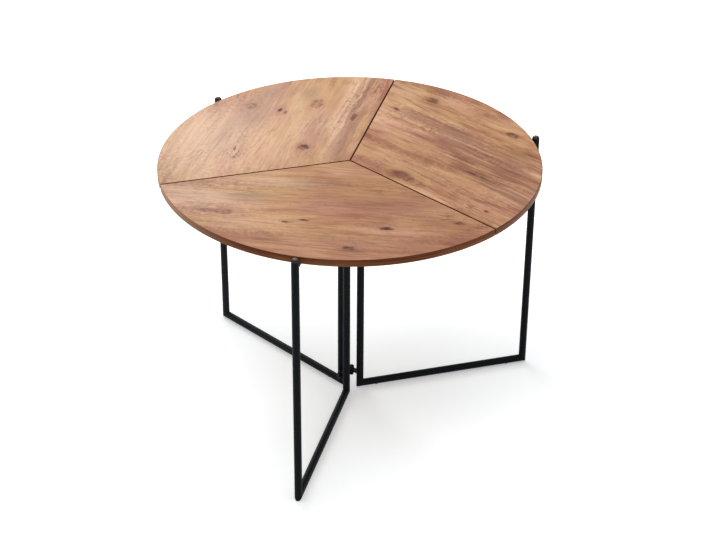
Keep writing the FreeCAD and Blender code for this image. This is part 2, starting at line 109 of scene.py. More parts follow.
class Shader:
    """Node tree of one material or world, with short calls for the nodes that the finishes share."""

    # Places of the amount and the two colours, and of the result, among the sockets of a Mix node.
    MIX_INPUTS = (0, 6, 7)
    MIX_RESULT = 2

    def __init__(self, owner: Owner) -> None:
        """Start an empty tree.

        Args:
            owner: the new material or world.
        """
        self.owner = owner
        owner.use_nodes = True
        self.tree = owner.node_tree
        self.tree.nodes.clear()
        coordinates = self.node("ShaderNodeTexCoord").outputs
        self.place: Socket = coordinates["Object"]
        self.normal: Socket = coordinates["Normal"]

    def node(self, kind: str, **settings: object) -> bpy.types.Node:
        """Add a node.

        Args:
            kind: type of the node.
            settings: its properties by name.

        Returns:
            The new node.
        """
        made = self.tree.nodes.new(kind)
        for key, value in settings.items():
            setattr(made, key, value)
        return made

    def put(self, socket: Socket, value: Number | Colour) -> None:
        """Link a socket to another one, or set its own value.

        Args:
            socket: the input to fill.
            value: an output to link, or a number or colour.
        """
        if isinstance(value, bpy.types.NodeSocket):
            self.tree.links.new(value, socket)
        elif isinstance(value, tuple) and len(socket.default_value) == len(value) + 1:
            socket.default_value = (*value, 1.0)
        else:
            socket.default_value = value

    def fill(self, made: bpy.types.Node, values: tuple[Number, ...]) -> Socket:
        """Fill the first inputs of a node.

        Args:
            made: the node.
            values: the values in the order of its inputs.

        Returns:
            The node's first output.
        """
        for socket, value in zip(made.inputs, values):
            self.put(socket, value)
        return made.outputs[0]

    def calc(self, operation: str, a: Number, b: Number = 0.0, c: Number = 0.0) -> Socket:
        """One step of arithmetic on up to three values."""
        return self.fill(self.node("ShaderNodeMath", operation=operation), (a, b, c))

    def distance(self, x: Socket, y: Socket) -> Socket:
        """Root of the sum of the squares of two values."""
        return self.calc("SQRT", self.calc("MULTIPLY_ADD", x, x, self.calc("MULTIPLY", y, y)))

    def combine(self, x: Number, y: Number, z: Number) -> Socket:
        """Vector from three values."""
        return self.fill(self.node("ShaderNodeCombineXYZ"), (x, y, z))

    def named(self, made: bpy.types.Node, **inputs: Number | Colour) -> bpy.types.Node:
        """Fill inputs of a node by name.

        Args:
            made: the node.
            inputs: values by name, with underscores for spaces.

        Returns:
            The same node.
        """
        for key, value in inputs.items():
            self.put(made.inputs[key.replace("_", " ")], value)
        return made

    def split(self, vector: Socket) -> tuple[Socket, Socket, Socket]:
        """The three values of a vector."""
        made = self.named(self.node("ShaderNodeSeparateXYZ"), Vector=vector)
        return tuple(made.outputs)

    def turned(self, degrees: float) -> Socket:
        """Object coordinates turned about Z, so that X runs along the given azimuth."""
        made = self.node("ShaderNodeMapping", vector_type="TEXTURE")
        return self.named(made, Vector=self.place, Rotation=(0.0, 0.0, math.radians(degrees))).outputs[0]

    def noise(self, vector: Socket, scale: float, detail: float = 2.0, rough: float = 0.5) -> Socket:
        """Cloudy noise from 0 to 1, with a number of octaves and the weight of the finer ones."""
        made = self.node("ShaderNodeTexNoise")
        return self.named(made, Vector=vector, Scale=scale, Detail=detail, Roughness=rough).outputs["Fac"]

    def cells(self, vector: Socket, scale: float) -> Socket:
        """Distance to the nearest of many scattered points, in units of their spacing."""
        made = self.node("ShaderNodeTexVoronoi", feature="F1")
        return self.named(made, Vector=vector, Scale=scale).outputs["Distance"]

    def smooth(self, value: Socket, span: Span, start: float = 0.0, end: float = 1.0) -> Socket:
        """Soft step from start to end, as a value goes from the first to the second limit of a span."""
        made = self.node("ShaderNodeMapRange", interpolation_type="SMOOTHSTEP")
        return self.fill(made, (value, *span, start, end))

    def ramp(self, value: Socket, stops: tuple[tuple[float, Colour], ...]) -> Socket:
        """Colour along a list of stops.

        Args:
            value: place along the list.
            stops: places and colours, in rising order.

        Returns:
            The colour.
        """
        made = self.node("ShaderNodeValToRGB")
        elements = made.color_ramp.elements
        while len(elements) < len(stops):
            elements.new(1.0)
        for element, (place, colour) in zip(elements, stops):
            element.position = place
            element.color = (*colour, 1.0)
        self.put(made.inputs[0], value)
        return made.outputs["Color"]

    def mix(self, amount: Number, first: Socket | Colour, second: Socket | Colour) -> Socket:
        """Blend two colours.

        Args:
            amount: share of the second colour.
            first: colour where the amount is 0.
            second: colour where the amount is 1.

        Returns:
            The blend.
        """
        made = self.node("ShaderNodeMix", data_type="RGBA")
        for place, value in zip(self.MIX_INPUTS, (amount, first, second)):
            self.put(made.inputs[place], value)
        return made.outputs[self.MIX_RESULT]

    def bump(self, height: Socket, share: float, relief: float) -> Socket:
        """Surface normal with a share of a fine relief, whose full height is in metres."""
        made = self.node("ShaderNodeBump")
        return self.named(made, Strength=share, Distance=relief, Height=height).outputs[0]

    def seen(self, other: Number) -> Socket:
        """One for the lens and in reflections, and another value for the rest of the light.

        Args:
            other: that value, from 0 to 1.

        Returns:
            The value for the ray at hand.
        """
        rays = self.node("ShaderNodeLightPath").outputs
        for kind in ("Is Camera Ray", "Is Glossy Ray", "Is Transmission Ray"):
            other = self.calc("MAXIMUM", other, rays[kind])
        return other

    def close(self, shade: Socket, output: str = "ShaderNodeOutputMaterial") -> Owner:
        """Lead a shade to the output of the tree, and give back the tree's owner."""
        self.put(self.node(output).inputs["Surface"], shade)
        return self.owner

    def surface(self, **inputs: Number | Colour) -> bpy.types.Material:
        """Close the material with one principled surface, whose inputs are given by name."""
        made = self.named(self.node("ShaderNodeBsdfPrincipled"), **inputs)
        return self.close(made.outputs[0])


@dataclass(frozen=True)
class Gloss:
    """Least roughness and its swing, gleam of the reflections, and share and full height of the relief."""

    rough: float
    swing: float
    gleam: float
    share: float
    relief: float

    def surface(self, shader: Shader, colour: Socket, change: Socket, height: Socket,
                dull: Number = 0.0) -> bpy.types.Material:
        """Close a material with this gloss.

        Args:
            shader: the material.
            colour: its colour.
            change: noise that changes the roughness.
            height: height of the relief.
            dull: where the surface is wholly rough.

        Returns:
            The finished material.
        """
        rough = shader.calc("MULTIPLY_ADD", change, self.swing, self.rough)
        rough = shader.calc("MAXIMUM", rough, dull)
        normal = shader.bump(height, self.share, self.relief)
        return shader.surface(Base_Color=colour, Roughness=rough,
                              Specular_IOR_Level=self.gleam, Normal=normal)


@dataclass(frozen=True)
class Mark:
    """Oval mark of the print: its place and its half lengths along and across the grain, in millimetres."""

    x: float
    y: float
    along: float
    across: float
    depth: float


@dataclass(frozen=True)
class Knot(Mark):
    """Dark knot, whose middle may stay paler."""

    pale_middle: float = 0.0


@dataclass(frozen=True)
class Stain(Mark):
    """Soft patch of another tint, on the streaks as far as it is streaky and between them below zero."""

    tint: Tint = Tint.BROWN
    streaky: float = 1.0


@dataclass(frozen=True)
class Scuff(Mark):
    """Patch with many short dark checks."""


@dataclass(frozen=True)
class Cloud:
    """One noise of the print: features per metre along and across the fibres, octaves and an own offset."""

    lengthwise: float
    crosswise: float
    detail: float
    shift: float
    rough: float = 0.55


# Noises of the print
WOBBLE = Cloud(95.0, 95.0, 4.0, 1.0, 0.65)
SWELL = Cloud(1.6, 4.2, 3.0, 2.0)
RIPPLE = Cloud(8.0, 16.0, 3.0, 3.0)
FIBRE = Cloud(24.0, 360.0, 3.0, 4.0, 0.62)
BROAD = Cloud(2.4, 6.0, 3.0, 5.0)
STREAKS = Cloud(2.2, 74.0, 5.0, 6.0, 0.66)
DRIFT = Cloud(4.0, 90.0, 4.0, 7.0, 0.62)
WORN = Cloud(5.0, 8.0, 2.0, 8.0)
LONG_CHECKS = Cloud(28.0, 150.0, 2.0, 9.0)
WORM_PATCHES = Cloud(7.0, 7.0, 1.0, 10.0)
MOTTLE = Cloud(8.0, 26.0, 5.0, 12.0, 0.66)
HUE = Cloud(3.0, 7.0, 4.0, 13.0)
CROSS_CHECKS = Cloud(120.0, 50.0, 2.0, 14.0)
FLECKS = Cloud(60.0, 150.0, 3.0, 15.0)
WIDE_LINES = Cloud(1.4, 24.0, 2.0, 16.0)
WIDE_LINE_PATCHES = Cloud(4.0, 12.0, 2.0, 17.0)
FINE_LINES = Cloud(2.6, 46.0, 2.0, 18.0)
FINE_LINE_PATCHES = Cloud(4.0, 12.0, 2.0, 19.0)

# Soft steps of the print, each from where a layer starts to where it is full
KNOT_BEND = (3.2, 0.6)
KNOT_MIDDLE = (0.80, 0.30)
KNOT_BODY = (1.25, 0.70)
KNOT_CORE = (0.85, 0.35)
KNOT_HALO = (2.6, 0.9)
STAIN_FADE = (1.25, 0.1)
SCUFF_FADE = (1.1, 0.4)
WORN_STEP = (0.52, 0.66)
LONG_CHECK_STEP = (0.55, 0.62)
CROSS_CHECK_STEP = (0.59, 0.66)
WORM_HOLE_STEP = (0.13, 0.08)
WORM_PATCH_STEP = (0.58, 0.62)
HUE_STEP = (0.38, 0.62)
DRIFT_STEP = (0.38, 0.58)
LINE_STEP = (0.034, 0.008)
LINE_PATCH_STEP = (0.44, 0.58)
FLECK_STEP = (0.36, 0.58)
WALL_STEP = (0.8, 0.6)


@dataclass
class GrainField:
    """Coordinates along and across the fibres of one print, bent by slow waves and by knots."""

    shader: Shader
    azimuth: float
    seed: float
    swell_bend: float = 60.0 * MM
    ripple_bend: float = 11.0 * MM
    knot_push: float = -0.55
    outline_wobble: float = 1.7
    along: Socket = field(init=False)
    across: Socket = field(init=False)
    bent: Socket = field(init=False)
    wobble: Socket = field(init=False)

    def __post_init__(self) -> None:
        """Turn the object coordinates to the grain and bend the fibres by two slow waves."""
        shader = self.shader
        self.along, self.across, _ = shader.split(shader.turned(self.azimuth))
        self.bent = self.across
        self.wobble = self.cloud(WOBBLE)
        swell = self.cloud(SWELL)
        ripple = self.cloud(RIPPLE)
        self.bent = shader.calc("MULTIPLY_ADD", swell, self.swell_bend, self.bent)
        self.bent = shader.calc("MULTIPLY_ADD", ripple, self.ripple_bend, self.bent)

    def cloud(self, cloud: Cloud) -> Socket:
        """Noise along and across the bent fibres.

        Args:
            cloud: numbers of the noise.

        Returns:
            The noise from 0 to 1.
        """
        shader = self.shader
        lengthwise = shader.calc("MULTIPLY", self.along, cloud.lengthwise)
        crosswise = shader.calc("MULTIPLY", self.bent, cloud.crosswise)
        place = shader.combine(lengthwise, crosswise, self.seed + cloud.shift)
        return shader.noise(place, 1.0, cloud.detail, cloud.rough)

    def reach(self, mark: Mark) -> tuple[Socket, Socket]:
        """Distance to a mark in its own half lengths, and the crosswise part of it.

        Args:
            mark: the oval mark.

        Returns:
            The wobbling oval distance and the crosswise offset.
        """
        shader = self.shader
        angle = math.radians(self.azimuth)
        here_along = (mark.x * math.cos(angle) + mark.y * math.sin(angle)) * MM
        here_across = (mark.y * math.cos(angle) - mark.x * math.sin(angle)) * MM
        lengthwise = shader.calc("SUBTRACT", self.along, here_along)
        lengthwise = shader.calc("MULTIPLY", lengthwise, 1.0 / (mark.along * MM))
        crosswise = shader.calc("SUBTRACT", self.across, here_across)
        crosswise = shader.calc("MULTIPLY", crosswise, 1.0 / (mark.across * MM))
        far = shader.distance(lengthwise, crosswise)
        uneven = shader.calc("SUBTRACT", self.wobble, 0.5)
        return shader.calc("MULTIPLY_ADD", uneven, self.outline_wobble, far), crosswise

    def bend_round(self, knot: Knot, far: Socket, crosswise: Socket) -> None:
        """Push the fibres aside round a knot, fading with the distance.

        Args:
            knot: the knot.
            far: distance to it in its own half lengths.
            crosswise: crosswise part of that distance.
        """
        shader = self.shader
        near = shader.calc("MULTIPLY", crosswise, shader.smooth(far, KNOT_BEND))
        push = shader.calc("MULTIPLY", near, knot.across * MM * self.knot_push)
        self.bent = shader.calc("ADD", self.bent, push)


@dataclass(frozen=True)
class WoodTones:
    """Four colours of one sort of wood, and their places along the tone from dark to pale."""

    pale: Colour
    tan: Colour
    brown: Colour
    dark: Colour
    places: tuple[float, float, float, float] = (0.385, 0.450, 0.508, 0.590)

    def stops(self) -> tuple[tuple[float, Colour], ...]:
        """Places and colours along the tone."""
        return tuple(zip(self.places, (self.dark, self.brown, self.tan, self.pale)))


GOLD = WoodTones((0.644, 0.410, 0.225), (0.527, 0.296, 0.144), (0.391, 0.191, 0.088), (0.235, 0.103, 0.056))
ROSE = WoodTones((0.649, 0.384, 0.242), (0.464, 0.223, 0.135), (0.323, 0.131, 0.078), (0.215, 0.082, 0.055))


@dataclass(frozen=True)
class PineDecor:
    """Rustic pine print with knots, stains, streaks, worm holes and checks, on one leaf."""

    side: Side
    grain: float
    knots: tuple[Knot, ...]
    stains: tuple[Stain, ...]
    scuffs: tuple[Scuff, ...]
    lift: float = 0.0
    contrast: float = 1.0
    line_depth: float = 0.30
    seed_step: float = 17.3
    tone_layers: tuple[tuple[Cloud, float], ...] = ((BROAD, 0.36), (MOTTLE, 0.24), (STREAKS, 0.20))
    fibre_weight: float = 0.20
    halo_shade: float = -0.04
    worn_depth: float = 0.40
    cross_share: float = 0.6
    check_depth: float = 0.85
    worm_cells: float = 52.0
    worm_depth: float = 0.8
    fleck_floor: float = 0.35
    heart: Colour = (0.165, 0.062, 0.042)
    core: Colour = (0.090, 0.030, 0.022)
    core_sink: float = -0.5
    wall: Colour = (0.190, 0.058, 0.018)
    edge: Colour = (0.090, 0.022, 0.003)
    edge_depth: float = 0.95
    half_gap: float = 1.5 * MM
    arris: float = 1.1 * MM
    gloss: Gloss = Gloss(0.33, 0.16, 0.06, 0.16, 0.4 * MM)

    def knot_layers(self, grain: GrainField) -> tuple[Number, Number, Number]:
        """Lay out the knots and bend the fibres round them.

        Args:
            grain: fibre coordinates of the leaf.

        Returns:
            The brown bodies, the dark cores and the wide halos of all knots.
        """
        shader = grain.shader
        bodies: Number = 0.0
        cores: Number = 0.0
        halos: Number = 0.0
        for knot in self.knots:
            far, crosswise = grain.reach(knot)
            grain.bend_round(knot, far, crosswise)
            solid = 1.0 - knot.pale_middle
            middle = shader.smooth(far, KNOT_MIDDLE, 1.0, solid)
            body = shader.calc("MULTIPLY", shader.smooth(far, KNOT_BODY, 0.0, knot.depth), middle)
            core = shader.smooth(far, KNOT_CORE, 0.0, knot.depth * solid)
            halo = shader.smooth(far, KNOT_HALO, 0.0, knot.depth)
            bodies = shader.calc("MAXIMUM", bodies, body)
            cores = shader.calc("MAXIMUM", cores, core)
            halos = shader.calc("MAXIMUM", halos, halo)
        return bodies, cores, halos

    def wood(self, grain: GrainField, fibre: Socket, halos: Number) -> Socket:
        """Colour of the plain wood.

        A tone from broad clouds, mottles, streaks and fine fibres, darker in the halos of the knots, runs
        through two ramps, golden and rosy wood. Another cloud chooses between them.

        Args:
            grain: fibre coordinates of the leaf.
            fibre: noise of the fine fibres.
            halos: halos of the knots.

        Returns:
            The colour.
        """
        shader = grain.shader
        tone: Number = 0.0
        for cloud, weight in self.tone_layers:
            tone = shader.calc("MULTIPLY_ADD", grain.cloud(cloud), weight, tone)
        tone = shader.calc("MULTIPLY_ADD", fibre, self.fibre_weight, tone)
        tone = shader.calc("MULTIPLY_ADD", halos, self.halo_shade, tone)
        tone = shader.calc("SUBTRACT", tone, 0.5)
        tone = shader.calc("MULTIPLY_ADD", tone, self.contrast, 0.5 + self.lift)
        hue = shader.smooth(grain.cloud(HUE), HUE_STEP)
        return shader.mix(hue, shader.ramp(tone, GOLD.stops()), shader.ramp(tone, ROSE.stops()))

    def stained(self, grain: GrainField, colour: Socket) -> Socket:
        """Lay the stains over the wood, each on or between the streaks of one drawn-out cloud.

        Args:
            grain: fibre coordinates of the leaf.
            colour: colour of the plain wood.

        Returns:
            The stained colour.
        """
        shader = grain.shader
        drift = shader.smooth(grain.cloud(DRIFT), DRIFT_STEP)
        for stain in self.stains:
            far, _ = grain.reach(stain)
            veil = shader.calc("MULTIPLY_ADD", drift, stain.streaky, 1.0 - max(stain.streaky, 0.0))
            soft = shader.calc("MULTIPLY", shader.smooth(far, STAIN_FADE, 0.0, stain.depth), veil)
            colour = shader.mix(soft, colour, stain.tint.value)
        return colour

    def checks(self, grain: GrainField) -> Socket:
        """Short dark checks, thick in the scuffed patches and sparse elsewhere, with a few worm holes.

        Args:
            grain: fibre coordinates of the leaf.
        """
        shader = grain.shader
        thick = shader.smooth(grain.cloud(WORN), WORN_STEP, 0.0, self.worn_depth)
        for scuff in self.scuffs:
            far, _ = grain.reach(scuff)
            thick = shader.calc("MAXIMUM", thick, shader.smooth(far, SCUFF_FADE, 0.0, scuff.depth))
        along = shader.smooth(grain.cloud(LONG_CHECKS), LONG_CHECK_STEP)
        cross = shader.smooth(grain.cloud(CROSS_CHECKS), CROSS_CHECK_STEP)
        marks = shader.calc("MAXIMUM", along, shader.calc("MULTIPLY", cross, self.cross_share))
        marks = shader.calc("MULTIPLY", marks, thick)
        holes = shader.cells(shader.combine(grain.along, grain.across, 0.0), self.worm_cells)
        holes = shader.smooth(holes, WORM_HOLE_STEP, 0.0, self.worm_depth)
        patches = shader.smooth(grain.cloud(WORM_PATCHES), WORM_PATCH_STEP)
        return shader.calc("MAXIMUM", marks, shader.calc("MULTIPLY", holes, patches))

    def dark_marks(self, grain: GrainField) -> Socket:
        """Checks, worm holes, and thin lines along the middle contours of two drawn-out clouds, in patches.

        Args:
            grain: fibre coordinates of the leaf.

        Returns:
            How dark the marks are at a point, from 0 to 1.
        """
        shader = grain.shader
        marks = shader.calc("MULTIPLY", self.checks(grain), self.check_depth)
        for lines, patches in ((WIDE_LINES, WIDE_LINE_PATCHES), (FINE_LINES, FINE_LINE_PATCHES)):
            contour = shader.calc("ABSOLUTE", shader.calc("SUBTRACT", grain.cloud(lines), 0.5))
            line = shader.smooth(contour, LINE_STEP, 0.0, self.line_depth)
            patch = shader.smooth(grain.cloud(patches), LINE_PATCH_STEP)
            marks = shader.calc("MAXIMUM", marks, shader.calc("MULTIPLY", line, patch))
        return marks

    def seam_arris(self, shader: Shader) -> Socket:
        """Dark line along the two straight edges of the leaf, found by the distance from the seam planes.

        Args:
            shader: the leaf's material.

        Returns:
            The darkness of the line, from 0 to 1.
        """
        bisector = math.degrees(self.side.azimuth())
        left = shader.calc("ABSOLUTE", shader.split(shader.turned(bisector - HALF_LEAF))[1])
        right = shader.calc("ABSOLUTE", shader.split(shader.turned(bisector + HALF_LEAF))[1])
        nearest = shader.calc("MINIMUM", left, right)
        edge = self.half_gap + self.arris
        fade = (edge + 0.5 * self.arris, edge - 0.5 * self.arris)
        return shader.smooth(nearest, fade, 0.0, self.edge_depth)

    def material(self) -> bpy.types.Material:
        """Make the decor: plain wood, stains, dark marks, flecked knots and the dark arris at the seams.

        The walls of the board are plain brown and dull.

        Returns:
            The material of this leaf.
        """
        shader = Shader(bpy.data.materials.new(f"{self.side.value} pine decor"))
        grain = GrainField(shader, self.grain, list(Side).index(self.side) * self.seed_step)
        bodies, cores, halos = self.knot_layers(grain)
        fibre = grain.cloud(FIBRE)
        colour = self.wood(grain, fibre, halos)
        colour = self.stained(grain, colour)
        colour = shader.mix(self.dark_marks(grain), colour, self.heart)
        broken = shader.smooth(grain.cloud(FLECKS), FLECK_STEP, self.fleck_floor, 1.0)
        colour = shader.mix(shader.calc("MULTIPLY", bodies, broken), colour, self.heart)
        colour = shader.mix(shader.calc("MULTIPLY", cores, broken), colour, self.core)
        colour = shader.mix(self.seam_arris(shader), colour, self.edge)
        facing = shader.calc("ABSOLUTE", shader.split(shader.normal)[2])
        wall = shader.smooth(facing, WALL_STEP)
        colour = shader.mix(wall, colour, self.wall)
        height = shader.calc("MULTIPLY_ADD", cores, self.core_sink, fibre)
        return self.gloss.surface(shader, colour, fibre, height, wall)


@dataclass(frozen=True)
class EdgeBand:
    """Thin wood-print band round the rim, darker than the top, with streaks that follow the rim, and a
    paler stretch of painted light on the left side.
    """

    top: float
    thickness: float
    round_streaks: float = 5.0
    upright_streaks: float = 260.0
    streak_detail: float = 4.0
    streak_rough: float = 0.6
    round_clouds: float = 2.2
    cloud_shift: float = 3.0
    streak_share: float = 0.6
    lower_lift: float = 0.07
    upper_lift: float = -0.11
    places: tuple[float, float, float] = (0.34, 0.5, 0.68)
    dark: Colour = (0.105, 0.028, 0.008)
    mid: Colour = (0.195, 0.063, 0.022)
    light: Colour = (0.300, 0.115, 0.046)
    pale: Colour = (0.470, 0.250, 0.130)
    lit_side_azimuth: float = 193.0
    lit_side_step: Span = (0.72, 1.0)
    lit_side_depth: float = 0.75
    gloss: Gloss = Gloss(0.38, 0.15, 0.08, 0.1, 0.3 * MM)

    def material(self) -> bpy.types.Material:
        """Make the band: noise over the angle and the height, dark above, with a paler stretch of painted
        light on the left side.

        Returns:
            The material of the band.
        """
        shader = Shader(bpy.data.materials.new("edge band"))
        x, y, z = shader.split(shader.place)
        turn = shader.calc("ARCTAN2", y, x)
        along = shader.calc("MULTIPLY", turn, self.round_streaks)
        upright = shader.calc("MULTIPLY", z, self.upright_streaks)
        place = shader.combine(along, upright, 0.0)
        streak = shader.noise(place, 1.0, self.streak_detail, self.streak_rough)
        cloud = shader.noise(shader.combine(turn, 0.0, self.cloud_shift), self.round_clouds)
        cloud = shader.calc("MULTIPLY", cloud, 1.0 - self.streak_share)
        height = (self.top - self.thickness, self.top)
        lift = shader.smooth(z, height, self.lower_lift, self.upper_lift)
        tone = shader.calc("MULTIPLY_ADD", streak, self.streak_share, cloud)
        tone = shader.calc("ADD", tone, lift)
        colour = shader.ramp(tone, tuple(zip(self.places, (self.dark, self.mid, self.light))))
        # Painted light: the band turns paler round the left side of the rim, standing in for light from the
        # left.
        away = shader.calc("SUBTRACT", turn, math.radians(self.lit_side_azimuth))
        lit_side = shader.smooth(shader.calc("COSINE", away), self.lit_side_step, 0.0, self.lit_side_depth)
        colour = shader.mix(lit_side, colour, self.pale)
        return self.gloss.surface(shader, colour, streak, streak)


@dataclass(frozen=True)
class PowderCoat:
    """Near-black satin powder coat with a fine orange-peel grain, and painted light that makes the back
    frame paler, in patches.
    """

    label: str = "powder coat"
    colour: Colour = (0.0036, 0.0044, 0.0062)
    painted_light_colour: Colour = (0.0160, 0.0170, 0.0205)
    gloss: Gloss = Gloss(0.38, 0.16, 0.06, 0.18, 0.15 * MM)
    peel: float = 1400.0
    patches: float = 18.0
    patch_detail: float = 3.0
    patch_step: Span = (0.2, 0.8)
    painted_light_patch: Span = (0.7, 1.3)
    painted_light_azimuth: float = 135.0
    painted_light_step: Span = (-0.35, 0.50)

    def material(self) -> bpy.types.Material:
        """Make the coat: fine noise for the grain, slow noise for the gloss and for the patches of painted
        light.

        Returns:
            The material of the coat.
        """
        shader = Shader(bpy.data.materials.new(self.label))
        peel = shader.noise(shader.place, self.peel)
        patch = shader.noise(shader.place, self.patches, self.patch_detail)
        # Painted light: the coat turns paler towards the back, in patches, standing in for light falling on
        # the back frame.
        outward = shader.split(shader.turned(self.painted_light_azimuth))[0]
        back = shader.smooth(outward, self.painted_light_step)
        painted_light = shader.calc("MULTIPLY", shader.smooth(patch, self.patch_step, *self.painted_light_patch), back)
        colour = shader.mix(painted_light, self.colour, self.painted_light_colour)
        return self.gloss.surface(shader, colour, patch, peel)


@dataclass(frozen=True)
class MouldedPlastic:
    """Moulded plastic with a fine spark-eroded grain."""

    label: str
    colour: Colour
    tint: Colour
    gloss: Gloss = Gloss(0.43, 0.14, 0.35, 0.12, 0.1 * MM)
    painted_light_share: float = 0.0
    painted_light: Colour = (0.215, 0.145, 0.120)
    painted_light_step: Span = (0.72, 1.0)
    spark_grain: float = 2600.0
    patches: float = 90.0

    def material(self) -> bpy.types.Material:
        """Make the plastic: fine noise for the grain, slow noise for the tint, a painted highlight on
        upward faces.

        Returns:
            The material of the plastic.
        """
        shader = Shader(bpy.data.materials.new(self.label))
        grain = shader.noise(shader.place, self.spark_grain)
        colour = shader.mix(shader.noise(shader.place, self.patches), self.colour, self.tint)
        # Painted highlight: upward faces turn paler and brownish, standing in for reflections of the sky
        # and the top.
        upward = shader.split(shader.normal)[2]
        colour = shader.mix(shader.smooth(upward, self.painted_light_step, 0.0, self.painted_light_share), colour, self.painted_light)
        return self.gloss.surface(shader, colour, grain, grain)


@dataclass(frozen=True)
class ZincPlate:
    """Bright zinc plate with a faint spangle and turning marks."""

    pale: Colour = (0.66, 0.67, 0.69)
    dull: Colour = (0.44, 0.45, 0.46)
    spangles: float = 420.0
    turning: float = 9000.0
    rough: float = 0.24
    rough_swing: float = 0.2
    relief_share: float = 0.08
    relief: float = 0.1 * MM

    def material(self) -> bpy.types.Material:
        """Make the plate: scattered cells give the spangle, fine rings along Z the turning marks.

        Returns:
            The material of the plate.
        """
        shader = Shader(bpy.data.materials.new("zinc plate"))
        spangle = shader.cells(shader.place, self.spangles)
        height = shader.split(shader.place)[2]
        marks = shader.calc("SINE", shader.calc("MULTIPLY", height, self.turning))
        colour = shader.mix(spangle, self.pale, self.dull)
        rough = shader.calc("MULTIPLY_ADD", spangle, self.rough_swing, self.rough)
        return shader.surface(Base_Color=colour, Metallic=1.0, Roughness=rough,
                              Normal=shader.bump(marks, self.relief_share, self.relief))


STRAP_GLOSS = Gloss(0.42, 0.16, 0.06, 0.18, 0.15 * MM)
STRAP_COAT = PowderCoat("strap coat", (0.012, 0.012, 0.013), (0.020, 0.020, 0.021), STRAP_GLOSS)
CAP_GLOSS = Gloss(0.28, 0.14, 0.25, 0.12, 0.1 * MM)
# The caps, knobs and washers carry the painted highlight on their upward faces.
BLACK_PLASTIC = MouldedPlastic("black plastic", (0.008, 0.008, 0.009), (0.014, 0.014, 0.015),
                               CAP_GLOSS, painted_light_share=0.65)
GLIDE_PLASTIC = MouldedPlastic("glide plastic", (0.50, 0.50, 0.49), (0.58, 0.58, 0.56))
NYLON = MouldedPlastic("nylon", (0.56, 0.55, 0.51), (0.62, 0.61, 0.57))


def paint(piece: bpy.types.Object, material: bpy.types.Material) -> None:
    """Put one material on a whole piece."""
    piece.data.materials.clear()
    piece.data.materials.append(material)


@dataclass
class Finishes:
    """One material per record slot, made once and shared by the pieces."""

    band: EdgeBand
    made: dict[Slot, bpy.types.Material] = field(default_factory=dict)

    def build(self) -> None:
        """Make every shared finish."""
        for slot, finish in (
            (Slot.BAND, self.band),
            (Slot.COAT, PowderCoat()),
            (Slot.ZINC, ZincPlate()),
            (Slot.STRAP, STRAP_COAT),
            (Slot.PLASTIC, BLACK_PLASTIC),
            (Slot.GLIDE, GLIDE_PLASTIC),
            (Slot.NYLON, NYLON),
        ):
            self.made[slot] = finish.material()

    def dress(self, node: str, slot: Slot) -> None:
        """Give a CAD node the finish of its slot."""
        paint(frame["nodes"][node], self.made[slot])
        LOG.info("%s wears %s", node, slot.value)

    def weld(self, bead: bpy.types.Object, side: Side) -> None:
        """Coat a weld bead and let it ride on its frame.

        Args:
            bead: the new bead.
            side: side of the frame.
        """
        paint(bead, self.made[Slot.COAT])
        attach(bead, side.node("frame"))
        LOG.info("%s added", bead.name)


def flat_levels(node: str) -> list[float]:
    """Heights of the flat faces of a stack of level plates.

    Args:
        node: name of the CAD node.

    Returns:
        The heights, rising, to the hundredth of a millimetre.
    """
    mesh = frame["nodes"][node].data
    place = np.empty(len(mesh.vertices) * 3)
    mesh.vertices.foreach_get("co", place)
    return np.unique(place[2::3].round(5)).tolist()


def across_path(path: np.ndarray, closed: bool) -> tuple[np.ndarray, np.ndarray]:
    """Two directions at right angles to a path, at each of its points.

    The tangent comes from the points before and after. The first direction points away from the path's
    middle, less its part along the tangent. The second is the cross product of the tangent and the first.

    Args:
        path: points of the path, one row each.
        closed: whether the last point joins the first.

    Returns:
        The first and the second direction, one row per point.
    """
    if closed:
        ahead = np.roll(path, -1, axis=0)
        behind = np.roll(path, 1, axis=0)
    else:
        ahead = np.vstack([path[1:], 2 * path[-1] - path[-2]])
        behind = np.vstack([2 * path[0] - path[1], path[:-1]])
    tangent = (ahead - behind) / np.linalg.norm(ahead - behind, axis=1, keepdims=True)
    outward = path - path.mean(axis=0)
    outward -= (outward * tangent).sum(axis=1, keepdims=True) * tangent
    outward /= np.linalg.norm(outward, axis=1, keepdims=True)
    return outward, np.cross(tangent, outward)


def bead_faces(first: int, rows: int, closed: bool) -> list[list[int]]:
    """Faces of one bead: quads between neighbouring circles, and flat ends where the path is open.

    Args:
        first: number of the bead's first point.
        rows: number of circles.
        closed: whether the last circle joins the first.

    Returns:
        Point numbers of each face.
    """
    row = np.arange(rows if closed else rows - 1)[:, None]
    column = np.arange(BEAD_SIDES)[None, :]
    below = row * BEAD_SIDES
    beyond = (row + 1) % rows * BEAD_SIDES
    following = (column + 1) % BEAD_SIDES
    quads = np.stack([below + column, below + following, beyond + following, beyond + column], axis=-1)
    faces = (first + quads.reshape(-1, 4)).tolist()
    if not closed:
        end = np.arange(BEAD_SIDES)
        faces.append((first + end[::-1]).tolist())
        faces.append((first + (rows - 1) * BEAD_SIDES + end).tolist())
    return faces


